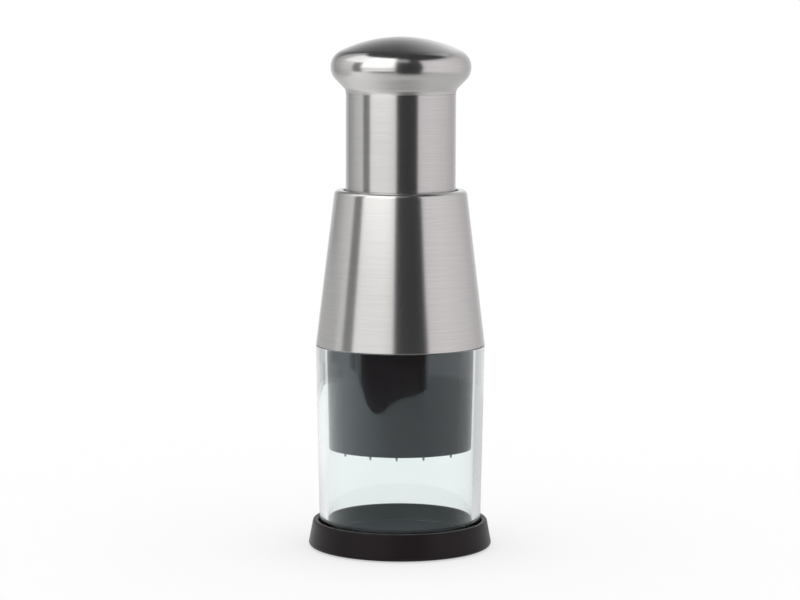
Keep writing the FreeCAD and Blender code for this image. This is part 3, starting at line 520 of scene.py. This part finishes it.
def makeCollar():
    low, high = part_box("collar_shell")
    wall, hem, hole = collarLook["wall"], collarLook["hemRound"], collarLook["holeRadius"]
    topRadius, topRound = collarLook["topRadius"], collarLook["topRound"]
    slope = (high.x - topRadius) / (high.z - low.z)
    innerTop = topRadius + slope * wall - wall
    lipEnd = high.z - collarLook["lipDepth"]
    collar = turnPiece("steelCollar", roundedSection([
        (high.x - wall, low.z, hem), (high.x, low.z, hem), (topRadius, high.z, topRound),
        (hole, high.z, collarLook["lipRound"]), (hole, lipEnd, hem), (hole + wall, lipEnd, hem),
        (hole + wall, high.z - wall, collarLook["innerRound"]), (innerTop, high.z - wall, topRound - wall),
    ], collarLook["roundSteps"]))
    finishPiece(collar, materials["brushed_steel"], "brushed_steel", "housing", "collar_shell")


# Plunger tube: a straight tube with soft rims
tubeSizes = {
    "wall": 0.8 * mm,
    "rimRound": 0.15 * mm,
    "roundSteps": 4,
}


def makeTube():
    low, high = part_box("plunger_tube")
    inner, rim = high.x - tubeSizes["wall"], tubeSizes["rimRound"]
    tube = turnPiece("plungerTube", roundedSection([
        (inner, low.z, rim), (high.x, low.z, rim), (high.x, high.z, rim), (inner, high.z, rim),
    ], tubeSizes["roundSteps"]))
    # the tube wears the darker copy of the steel, which is painted shade
    finishPiece(tube, materials["tube_steel_painted_shade"], "brushed_steel", "plunger", "plunger_tube")


# Knob: a steel dome with a round edge and a flare that bends down into the tube
knobSizes = {
    "wall": 0.8 * mm,
    "edgeRadius": 7.9 * mm,
    "edgeHeight": 214.3 * mm,
    "flare": 44.0,              # degrees between the flare and the tube
    "neckRound": 3.0 * mm,
    "tubeGap": 0.02 * mm,
    "bendSteps": 8,
    "edgeSteps": 36,
    "domeSteps": 24,
}


# The knob in section, from the neck over the bend, flare, edge and dome, drawn in by a cut
def knobPoints(tubeTop, cut):
    low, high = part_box("knob_shell")
    neck = tubeTop.x - cut
    edge = knobSizes["edgeRadius"]
    edgeCentre = Vector((high.x - edge, knobSizes["edgeHeight"]))
    drop = high.z - edgeCentre.y
    dome = (edgeCentre.x ** 2 + drop ** 2 - edge ** 2) / (2 * (drop - edge))
    domeCentre = Vector((0, high.z - dome))
    lean = math.degrees(math.atan2(edgeCentre.y - domeCentre.y, edgeCentre.x))
    flare = math.radians(knobSizes["flare"])
    flareTop = edgeCentre + (edge - cut) * Vector((math.cos(flare), -math.sin(flare)))
    corner = flareTop.y - (flareTop.x - neck) / math.tan(flare)
    bend = knobSizes["neckRound"] + cut
    bendCentre = (neck + bend, corner - bend * math.tan(flare / 2))
    points = [Vector((neck, tubeTop.z + knobSizes["tubeGap"]))]
    points += arcPoints(bendCentre, bend, 180, 180 - knobSizes["flare"], knobSizes["bendSteps"])
    points += arcPoints(edgeCentre, edge - cut, -knobSizes["flare"], lean, knobSizes["edgeSteps"])
    points += arcPoints(domeCentre, dome - cut, lean, 90, knobSizes["domeSteps"])[1:]
    return points


def makeKnob():
    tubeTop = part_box("plunger_tube")[1]
    inside = knobPoints(tubeTop, knobSizes["wall"])
    knob = turnPiece("steelKnob", list(reversed(inside)) + knobPoints(tubeTop, 0), closed=False)
    finishPiece(knob, materials["knob_steel"], "brushed_steel", "plunger", "knob_shell")


# Wiper bell: a glossy dark cup over the blades, with a ledge inside
bellLook = {
    "footRadius": 31.9 * mm,
    "topRadius": 32.85 * mm,
    "wall": 1.5 * mm,
    "holeRadius": 5.6 * mm,
    "roof": 2.0 * mm,
    "topRound": 0.8 * mm,
    "footRound": 0.3 * mm,
    "fineRound": 0.15 * mm,
    "ledgeRadius": 28.3 * mm,
    "ledgeLow": 71.2 * mm,
    "ledgeHigh": 73.2 * mm,
    "guideRadius": 29.9 * mm,
    "plateStop": 47.05 * mm,
}


def makeBell():
    low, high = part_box("wiper_cup")
    footRadius, topRadius, topRound = bellLook["footRadius"], bellLook["topRadius"], bellLook["topRound"]
    spread = (topRadius - footRadius) / (high.z - low.z)
    roofLow = high.z - bellLook["roof"]
    ledgeLow, ledgeHigh, ledge = bellLook["ledgeLow"], bellLook["ledgeHigh"], bellLook["ledgeRadius"]
    hole, fine, plateStop = bellLook["holeRadius"], bellLook["fineRound"], bellLook["plateStop"]

    def innerAt(level):
        return footRadius + spread * (level - low.z) - bellLook["wall"]

    bell = turnPiece("wiperBell", roundedSection([
        (innerAt(low.z), low.z, fine), (footRadius, low.z, bellLook["footRound"]),
        (topRadius, high.z, topRound), (hole, high.z, fine), (hole, roofLow, fine),
        (innerAt(roofLow), roofLow, topRound), (innerAt(ledgeHigh), ledgeHigh, fine),
        (ledge, ledgeHigh, fine), (ledge, ledgeLow, fine), (bellLook["guideRadius"], ledgeLow, fine),
        (bellLook["guideRadius"], plateStop, 0), (innerAt(low.z), plateStop, 0),
    ]))
    finishPiece(bell, materials["cup_plastic"], "cup_plastic", "wiper", "wiper_cup")


# Blade: one steel strip folded to and fro. Below the wiper plate every fold is ground to a narrow tooth,
# and the edge between the teeth is set back
bladeLook = {
    "reach": 28.7 * mm,
    "sideRoom": 5.1 * mm,
    "endBack": 4.0 * mm,
    "frontFolds": 5,
    "turn": -3.0,
    "thickness": 0.5 * mm,
    "foldRadius": 1.0 * mm,
    "foldSteps": 8,
    "grindHeight": 1.9 * mm,
    "toothRadius": 0.3 * mm,
    "toothHeight": 1.35 * mm,
    "toothReach": 0.9 * mm,
    "edgeSetBack": 1.0 * mm,
    "edgeThickness": 0.12 * mm,
    "levelRoom": 0.01 * mm,     # slack when the ground edge is told from the rest by its height
}


# Fold circles in plan, from end to end, as (centre, side that the fold faces, radius)
def foldStops(foldRadius):
    folds = bladeLook["frontFolds"] * 2 - 1
    pace = (bladeLook["reach"] - bladeLook["foldRadius"] - bladeLook["sideRoom"]) * 2 / (folds - 1)
    endAcross = math.sqrt(bladeLook["reach"] ** 2 - bladeLook["endBack"] ** 2)
    stops = [(Vector((-endAcross, bladeLook["endBack"])), 1, 0.0)]
    for index in range(folds):
        across = (index - (folds - 1) / 2) * pace
        side = 1 if index % 2 else -1
        depth = math.sqrt((bladeLook["reach"] - foldRadius) ** 2 - across ** 2)
        stops.append((Vector((across, side * depth)), side, foldRadius))
    stops.append((Vector((endAcross, bladeLook["endBack"])), 1, 0.0))
    return stops


# The strip's middle line from end to end at one level. Between the folds it can be lifted
def foldPath(foldRadius, level, lift=0.0):
    stops = foldStops(foldRadius)
    path = []
    cameFrom = None
    for (here, side, radius), (there, nextSide, nextRadius) in zip(stops[:-1], stops[1:]):
        chord = there - here
        lean = math.asin((radius + nextRadius) / chord.length) * nextSide
        leg = Matrix.Rotation(lean, 2) @ chord.normalized()
        across = Vector((-leg.y, leg.x))
        start, finish = here + across * radius * side, there + across * nextRadius * nextSide
        if cameFrom is not None:
            first, last = cameFrom - here, start - here
            sweep = -side * first.angle(last)
            for step in range(1, bladeLook["foldSteps"]):
                bend = Matrix.Rotation(sweep * step / bladeLook["foldSteps"], 2)
                path.append((*(here + bend @ first), level))
        reach = leg * bladeLook["toothReach"]
        path.append((*start, level))
        path.append((*(start + reach), level + lift))
        path.append((*(finish - reach), level + lift))
        path.append((*finish, level))
        cameFrom = finish
    turn = Matrix.Rotation(math.radians(bladeLook["turn"]), 3, "Z")
    return [turn @ Vector(spot) for spot in path]


def makeBlade():
    low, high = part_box("zigzag_blade")
    setBack = bladeLook["edgeSetBack"]
    toothRadius, foldRadius = bladeLook["toothRadius"], bladeLook["foldRadius"]
    chains = [foldPath(toothRadius, low.z, setBack), foldPath(toothRadius, low.z + bladeLook["toothHeight"]),
              foldPath(foldRadius, low.z + bladeLook["grindHeight"]), foldPath(foldRadius, high.z)]
    blade = startPiece("zigzagBlade", chains[0][0])
    pullChain(chains[0])
    for chain in chains[1:]:
        bpy.ops.mesh.primitive_plane_add(size=mm, location=chain[0])
        bpy.ops.mesh.merge(type="CENTER")
        pullChain(chain)
    bpy.ops.mesh.select_all(action="SELECT")
    bpy.ops.mesh.bridge_edge_loops()
    bpy.ops.object.mode_set(mode="OBJECT")
    width = blade.vertex_groups.new(name="width")
    for vertex in blade.data.vertices:
        ground = vertex.co.z < low.z + setBack + bladeLook["levelRoom"]
        share = bladeLook["edgeThickness"] / bladeLook["thickness"] if ground else 1.0
        width.add([vertex.index], share, "REPLACE")
    strip = blade.modifiers.new("strip", "SOLIDIFY")
    strip.thickness = bladeLook["thickness"]
    strip.offset = 0
    strip.vertex_group = width.name
    bpy.ops.object.modifier_apply(modifier=strip.name)
    bpy.ops.object.mode_set(mode="EDIT")
    closePiece()
    finishPiece(blade, materials["blade_steel"], "blade_steel", "cutter", "zigzag_blade")


# Return spring: one wire wound up a screw
springLook = {
    "turns": 11,
    "wire": 1.8 * mm,
    "radius": 17.4 * mm,
    "wireSides": 16,
    "stepsPerTurn": 48,
}


def makeSpring():
    low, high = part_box("return_spring")
    wireRadius, sides = springLook["wire"] / 2, springLook["wireSides"]
    clearSelection()
    bpy.ops.mesh.primitive_circle_add(vertices=sides, radius=wireRadius, rotation=(math.pi / 2, 0, 0),
                                      location=(springLook["radius"], 0, low.z + wireRadius))
    coil = bpy.context.object
    coil.name = "returnSpring"
    coil.data.name = "returnSpring"
    bpy.ops.object.transform_apply(location=True, rotation=True, scale=True)
    screw = coil.modifiers.new("coil", "SCREW")
    screw.axis = "Z"
    screw.angle = math.tau
    screw.screw_offset = (high.z - low.z - springLook["wire"]) / springLook["turns"]
    screw.iterations = springLook["turns"]
    screw.steps = springLook["stepsPerTurn"]
    screw.render_steps = springLook["stepsPerTurn"]
    screw.use_merge_vertices = False
    bpy.ops.object.modifier_apply(modifier=screw.name)
    bpy.ops.object.mode_set(mode="EDIT")
    bpy.ops.mesh.select_all(action="DESELECT")
    bpy.ops.mesh.select_non_manifold()
    bpy.ops.mesh.fill_holes(sides=sides)
    closePiece()
    finishPiece(coil, materials["spring_steel"], "spring_steel", "plunger", "return_spring")
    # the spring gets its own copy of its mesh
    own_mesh(coil)


# Table and room: white all round for the camera, and a small studio in the reflections.
# Brightness round the chopper is listed by azimuth, in degrees from the camera to the right
tableLook = {
    "height": -0.05 * mm,
    "outline": [(-0.732, -0.431), (-0.529, -0.324), (-0.407, -0.26), (-0.352, -0.272), (-0.298, -0.275),
                (-0.239, -0.294), (-0.193, -0.316), (-0.144, -0.347), (-0.083, -0.391), (-0.017, -0.412),
                (0.051, -0.417), (0.161, -0.399), (0.249, -0.37), (0.296, -0.372), (0.382, -0.382),
                (0.591, -0.462), (0.7, 0.35), (0.25, 0.48), (-0.25, 0.4), (-0.76, 0.2)],
    "paint": 0.45,
    # painted shade: close to the chopper the table's glow in reflections is turned down, standing in for the
    # chopper's shadow on it
    "near": [(-180, 0.85), (-140, 0.82), (-110, 0.95), (-85, 1.0), (-62, 0.78), (-30, 0.66), (30, 0.66),
             (66, 0.64), (90, 0.8), (110, 0.72), (140, 0.7), (180, 0.78)],
    "nearReach": (0.1, 0.27),
    "far": [(-180, 0.98), (-150, 0.98), (-125, 0.96), (-100, 1.04), (-80, 1.08), (-45, 0.84), (-15, 0.55),
            (25, 0.5), (66, 0.58), (120, 0.58), (150, 0.68), (180, 0.74)],
}
roomLook = {
    "tent": 1.0,            # the light that falls on the chopper from all round
    "dark": (0.02, 0.0205, 0.024),
    "round": [(-180, 0.97), (-172, 0.97), (-158, 0.7), (-132, 0.5), (-112, 0.0), (106, 0.0), (116, 0.25),
              (128, 0.68), (158, 0.68), (172, 0.97), (180, 0.97)],
    "upwards": [(0.15, 0.97), (0.31, 0.66), (0.5, 0.36), (0.63, 0.19), (0.72, 0.115), (0.79, 0.07),
                (0.9, 0.04)],
    "leanRight": 1.12,      # the lit part of the ceiling reaches higher on the right
    "leanLeft": 0.18,
}
# Light cards round the chopper: brightness by azimuth, and by height in metres
white = (1.0, 1.0, 1.0)
cardSteps = 24
cards = {
    "keySoftbox": {"distance": 0.45, "edge": 2.0, "colour": (1.0, 0.99, 0.98),
                   "round": [(-67, 1.0), (-26, 1.0), (-8, 0.86)],
                   "upright": [(0.05, 1.35), (0.124, 1.2), (0.145, 1.02), (0.165, 0.82), (0.185, 0.95),
                               (0.226, 1.6), (0.35, 1.9), (0.5, 2.05), (0.96, 2.05)]},
    "leftWing": {"distance": 0.44, "edge": 3.0, "colour": (1.0, 1.0, 0.99),
                 "round": [(-114, 1.2), (-65, 1.5)], "upright": [(0.42, 1.0), (0.9, 1.0)]},
    "leftShade": {"distance": 0.25, "edge": 4.0, "colour": white,
                  "round": [(-152, 0.56), (-92, 0.56)], "upright": [(0.05, 1.0), (0.135, 1.0)]},
    "leftGap": {"distance": 0.52, "edge": 2.0, "colour": white,
                "round": [(-92, 0.2), (-62, 0.2)], "upright": [(0.0, 1.0), (0.5, 1.0)]},
    "leftApron": {"distance": 0.507, "edge": 2.0, "colour": white,
                  "round": [(-100, 1.0), (-69, 1.0)], "upright": [(-0.3, 1.0), (0.035, 1.0)]},
    "leftFill": {"distance": 0.5, "edge": 2.0, "colour": white,
                 "round": [(-140, 0.37), (-119, 0.51), (-104, 0.7), (-82.5, 0.84)],
                 "upright": [(-0.25, 0.9), (0.03, 1.1), (0.08, 0.9), (0.2, 1.0), (0.45, 1.25), (1.0, 1.25)]},
    "frontGap": {"distance": 0.2, "edge": 3.0, "colour": white,
                 "round": [(-7, 0.02), (36, 0.02)], "upright": [(0.045, 1.0), (0.125, 1.0)]},
    "rightFill": {"distance": 0.5, "edge": 2.0, "colour": (1.0, 0.965, 0.98),
                  "round": [(34, 0.86), (65, 0.9), (90, 0.83), (107, 0.77), (123, 0.66), (144, 0.58)],
                  "upright": [(-0.25, 0.85), (0.1, 1.0), (0.52, 1.0), (0.7, 0.55)]},
    "frontGlow": {"distance": 0.45, "edge": 6.0, "colour": white, "round": [(-10, 0.42), (18, 0.42)],
                  "upright": [(0.46, 0.0), (0.56, 1.0), (0.76, 1.0), (0.88, 0.0)]},
}


# A brightness that runs through listed levels, straight from one to the next
def levelCurve(tree, value, levels):
    low, high = levels[0][0], levels[-1][0]
    ramp = addNode(tree, "ShaderNodeValToRGB", {"Fac": rangeNode(tree, value, low, high)})
    top = max(level for place, level in levels)
    stops = ramp.color_ramp.elements
    while len(stops) < len(levels):
        stops.new(0.5)
    for stop, (place, level) in zip(stops, levels):
        stop.position = (place - low) / (high - low)
        stop.color = (level / top, level / top, level / top, 1)
    return mathNode(tree, "MULTIPLY", ramp.outputs["Color"], top)


def azimuthOf(tree, parts):
    towards = mathNode(tree, "MULTIPLY", parts["Y"], -1.0)
    return mathNode(tree, "DEGREES", mathNode(tree, "ARCTAN2", parts["X"], towards))


# 1 where a ray has met a shiny surface on its way and no matt one
def reflectedRays(tree):
    rays = addNode(tree, "ShaderNodeLightPath").outputs
    shiny = mathNode(tree, "GREATER_THAN", rays["Glossy Depth"], 0.5)
    return mathNode(tree, "MULTIPLY", shiny, mathNode(tree, "LESS_THAN", rays["Diffuse Depth"], 0.5))


# Joins two shaders and leads them to the output
def showMixed(tree, factor, first, second, outputKind="ShaderNodeOutputMaterial"):
    both = addNode(tree, "ShaderNodeMixShader", {0: factor, 1: first.outputs[0], 2: second.outputs[0]})
    addNode(tree, outputKind, {"Surface": both.outputs[0]})


def startMaterial(name):
    material = bpy.data.materials.new(name)
    material.use_nodes = True
    material.node_tree.nodes.clear()
    material.cycles.emission_sampling = "NONE"
    return material, material.node_tree


# A material that shows only in reflections, and lets every other ray through
def makeCardMaterial(name, look):
    material, tree = startMaterial(name)
    parts = partsOf(tree, objectPlace(tree))
    azimuth = azimuthOf(tree, parts)
    start, finish, edge = look["round"][0][0], look["round"][-1][0], look["edge"]
    rise = easeNode(tree, azimuth, start, start + edge)
    fall = easeNode(tree, azimuth, finish - edge, finish, 1.0, 0.0)
    shown = mathNode(tree, "MULTIPLY", reflectedRays(tree), mathNode(tree, "MULTIPLY", rise, fall))
    strength = mathNode(tree, "MULTIPLY", levelCurve(tree, azimuth, look["round"]),
                        levelCurve(tree, parts["Z"], look["upright"]))
    light = addNode(tree, "ShaderNodeEmission", {"Color": (*look["colour"], 1), "Strength": strength})
    showMixed(tree, shown, addNode(tree, "ShaderNodeBsdfTransparent"), light)
    return material


# A card bent round the chopper: an upright edge spun through its azimuths
def addCard(name, look):
    start, finish = (math.radians(look["round"][end][0]) for end in (0, -1))
    low, high = look["upright"][0][0], look["upright"][-1][0]
    across, towards = math.sin(start) * look["distance"], -math.cos(start) * look["distance"]
    edge = [Vector((across, towards, low)), Vector((across, towards, high))]
    card = startPiece(name, edge[0])
    pullChain(edge)
    bpy.ops.mesh.select_all(action="SELECT")
    bpy.ops.mesh.spin(steps=cardSteps, angle=start - finish, center=(0, 0, 0), axis=(0, 0, 1))
    bpy.ops.object.mode_set(mode="OBJECT")
    card.data.materials.append(makeCardMaterial(name, look))


# Pale paint that comes out white for the camera but still takes a shadow, and a listed level in reflections,
# with painted shade close to the chopper
def makeTableMaterial():
    material, tree = startMaterial("pale_table")
    level = tableLook["paint"]
    paint = addNode(tree, "ShaderNodeBsdfDiffuse", {"Color": (level, level, level, 1)})
    glow = addNode(tree, "ShaderNodeEmission", {"Strength": 1.0 - level * roomLook["tent"]})
    seen = addNode(tree, "ShaderNodeAddShader", {0: paint.outputs[0], 1: glow.outputs[0]})
    parts = partsOf(tree, objectPlace(tree))
    azimuth = azimuthOf(tree, parts)
    # the painted shade close to the chopper fades out over this reach
    openness = easeNode(tree, axisDistance(tree, parts), *tableLook["nearReach"])
    blend = {"Factor": openness, "A": levelCurve(tree, azimuth, tableLook["near"]),
             "B": levelCurve(tree, azimuth, tableLook["far"])}
    strength = addNode(tree, "ShaderNodeMix", blend, data_type="FLOAT").outputs["Result"]
    mirrored = addNode(tree, "ShaderNodeEmission", {"Strength": strength})
    showMixed(tree, reflectedRays(tree), seen, mirrored)
    return material


# A flat sheet whose front edge is cut to the shape that the dark cup mirrors
def addTable():
    outline = [Vector((x, y, tableLook["height"])) for x, y in tableLook["outline"]]
    table = startPiece("paleTable", outline[0])
    pullChain(outline)
    bpy.ops.mesh.select_all(action="SELECT")
    bpy.ops.mesh.edge_face_add()
    bpy.ops.mesh.normals_make_consistent(inside=False)
    bpy.ops.object.mode_set(mode="OBJECT")
    table.data.materials.append(makeTableMaterial())


def addBackground(tree, colour, strength):
    return addNode(tree, "ShaderNodeBackground", {"Color": (*colour, 1), "Strength": strength})


def addRoom():
    world = bpy.data.worlds.new("studio")
    bpy.context.scene.world = world
    world.use_nodes = True
    tree = world.node_tree
    tree.nodes.clear()
    parts = partsOf(tree, addNode(tree, "ShaderNodeTexCoord").outputs["Generated"])
    rightwards = mathNode(tree, "MULTIPLY", mathNode(tree, "MAXIMUM", parts["X"], 0.0), roomLook["leanRight"])
    leftwards = mathNode(tree, "MULTIPLY", mathNode(tree, "MINIMUM", parts["X"], 0.0), roomLook["leanLeft"])
    leaning = mathNode(tree, "SUBTRACT", mathNode(tree, "SUBTRACT", parts["Z"], rightwards), leftwards)
    lit = mathNode(tree, "MULTIPLY", levelCurve(tree, azimuthOf(tree, parts), roomLook["round"]),
                   levelCurve(tree, leaning, roomLook["upwards"]))
    dark = addBackground(tree, roomLook["dark"], 1.0)
    studio = addBackground(tree, white, lit)
    room = addNode(tree, "ShaderNodeAddShader", {0: dark.outputs[0], 1: studio.outputs[0]})
    tent = addBackground(tree, white, roomLook["tent"])
    showMixed(tree, reflectedRays(tree), tent, room, "ShaderNodeOutputWorld")


addCamera()
print("camera set")
dressNodes()
makeBase()
makeContainer()
makeCollar()
makeTube()
makeKnob()
makeBell()
makeBlade()
makeSpring()
addTable()
for cardName, cardLook in cards.items():
    addCard(cardName, cardLook)
addRoom()
print("table, cards and room set")

bpy.context.scene.view_settings.view_transform = "Standard"
clearSelection()
